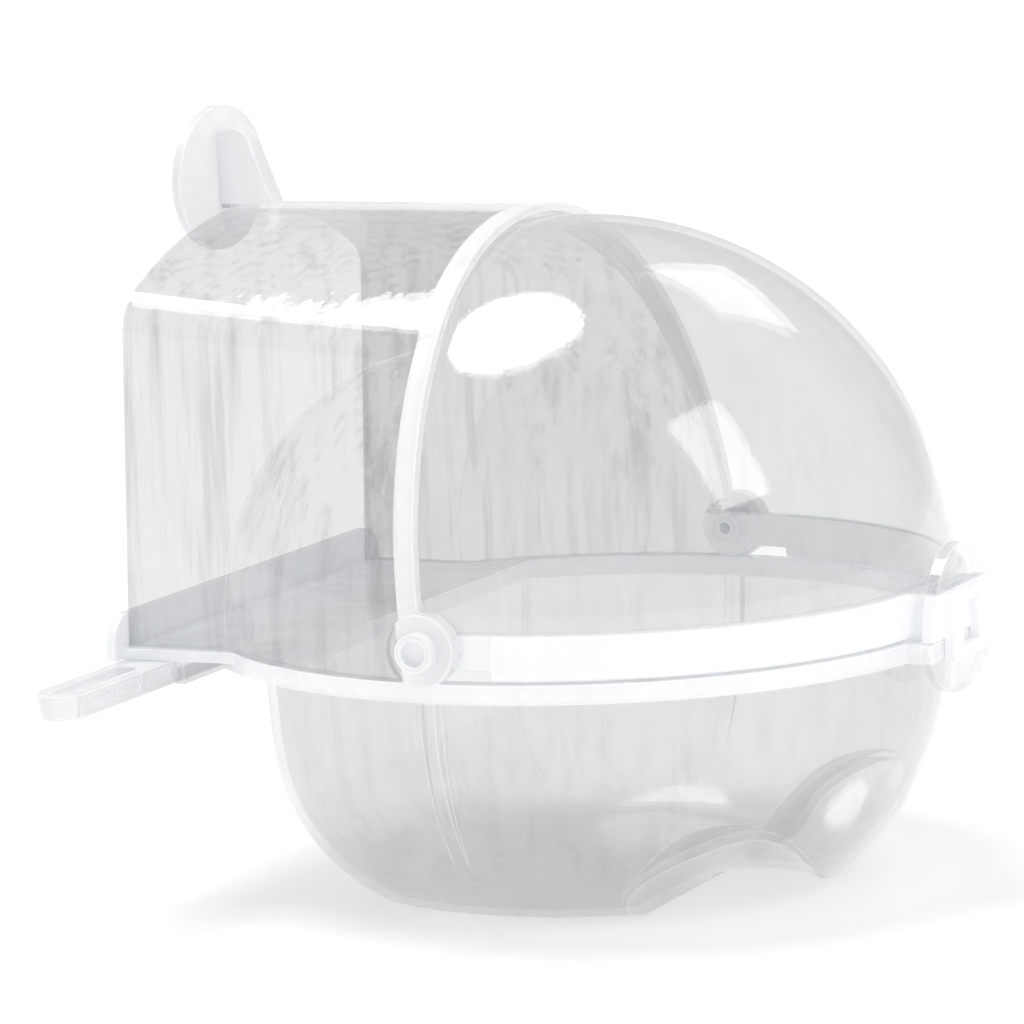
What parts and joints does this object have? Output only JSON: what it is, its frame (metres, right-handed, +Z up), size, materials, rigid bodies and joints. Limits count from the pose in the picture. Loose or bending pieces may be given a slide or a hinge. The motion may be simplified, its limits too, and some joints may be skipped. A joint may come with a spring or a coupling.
{
  "type": "hanging bird bath",
  "caption": "Clear plastic bird bath that hangs outside a cage door: bowl, tunnel hood, pivoting dome visor and sliding hook arms.",
  "frame": {"origin": "centre of the bowl's flat foot, straight below the middle of the visor's pivot axis", "axes": "+Z up, +X towards the visor (away from the cage), Y along the visor's pivot axis"},
  "size_m": [0.1636, 0.1752, 0.155],
  "materials": {
    "bowl_plastic": "clear moulded polystyrene, gloss",
    "hood_plastic": "clear moulded polystyrene, gloss",
    "visor_plastic": "clear moulded polystyrene, high gloss",
    "pin_plastic": "clear moulded plastic, gloss",
    "arm_plastic": "clear moulded plastic, gloss"
  },
  "bodies": {
    "tub": {"bowl": "bowl_plastic", "rear_hood": "hood_plastic", "right_pivot_pin": "pin_plastic", "left_pivot_pin": "pin_plastic"},
    "visor": {"visor": "visor_plastic"},
    "right_arm": {"right_hook_arm": "arm_plastic"},
    "left_arm": {"left_hook_arm": "arm_plastic"}
  },
  "joints": [
    {"name": "visor_hinge", "type": "hinge", "parent": "tub", "child": "visor", "pos_m": [0, 0, 0.0585], "axis": [0, -1, 0], "range_deg": [0, 80]},
    {"name": "right_arm_slide", "type": "slide", "parent": "tub", "child": "right_arm", "axis": [0, 1, 0], "range_m": [0, 0.03]},
    {"name": "left_arm_slide", "type": "slide", "parent": "tub", "child": "left_arm", "axis": [0, 1, 0], "range_m": [0, 0.03]}
  ]
}
